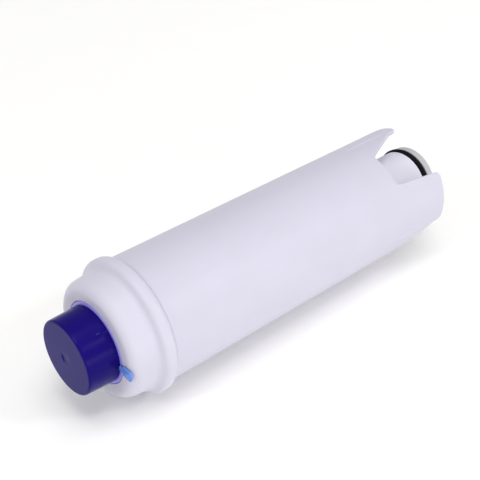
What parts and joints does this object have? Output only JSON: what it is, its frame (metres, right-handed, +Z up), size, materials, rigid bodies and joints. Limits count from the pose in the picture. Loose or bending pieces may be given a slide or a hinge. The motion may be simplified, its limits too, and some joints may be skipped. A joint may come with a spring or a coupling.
{
  "type": "water filter cartridge",
  "caption": "Tubular water filter cartridge with a turning date dial, beaded cover, filter beds inside and an O-ringed outlet spigot within a windowed skirt.",
  "frame": {"origin": "centre of the bounding box's bottom face, on the surface the cartridge lies on", "axes": "+X along the filter's axis from the dial to the spigot, +Z up, lying on its side"},
  "size_m": [0.16, 0.0476, 0.0476],
  "materials": {
    "white_plastic": "satin moulded polypropylene, cool white",
    "cover_plastic": "satin moulded polypropylene, cool white",
    "dial_plastic": "glossy violet-blue with a satin end face",
    "disc_plastic": "pale violet, glossy",
    "pointer_plastic": "light blue, glossy",
    "acetal": "natural acetal",
    "spring_steel": "bright stainless spring steel",
    "seal_rubber": "dark grey rubber",
    "o_ring_rubber": "black nitrile rubber",
    "screen_plastic": "natural polypropylene",
    "felt": "off-white needled felt",
    "carbon_granules": "granular activated carbon",
    "resin_beads": "amber ion-exchange beads",
    "mesh_fabric": "fine woven mesh"
  },
  "bodies": {
    "root": {"housing_tube": "white_plastic", "top_cover": "cover_plastic", "cover_seal": "seal_rubber", "dial_detent_washer": "spring_steel", "upper_screen_plate": "screen_plastic", "upper_felt": "felt", "carbon_bed": "carbon_granules", "divider_felt": "felt", "resin_bed": "resin_beads", "lower_felt": "felt", "lower_screen_plate": "screen_plastic", "inlet_mesh": "mesh_fabric", "riser_tube": "acetal", "riser_collar": "seal_rubber", "riser_strainer": "screen_plastic", "outlet_spigot": "white_plastic", "spigot_o_ring": "o_ring_rubber", "outlet_strainer": "screen_plastic"},
    "dial": {"dial_cap": "dial_plastic", "dial_disc": "disc_plastic", "date_pointer": "pointer_plastic", "dial_stem": "acetal", "dial_retaining_clip": "spring_steel"}
  },
  "joints": [
    {"name": "date_dial_turn", "type": "hinge", "parent": "root", "child": "dial", "pos_m": [-0.0688, 0, 0.0238], "axis": [-1, 0, 0], "continuous": true}
  ]
}
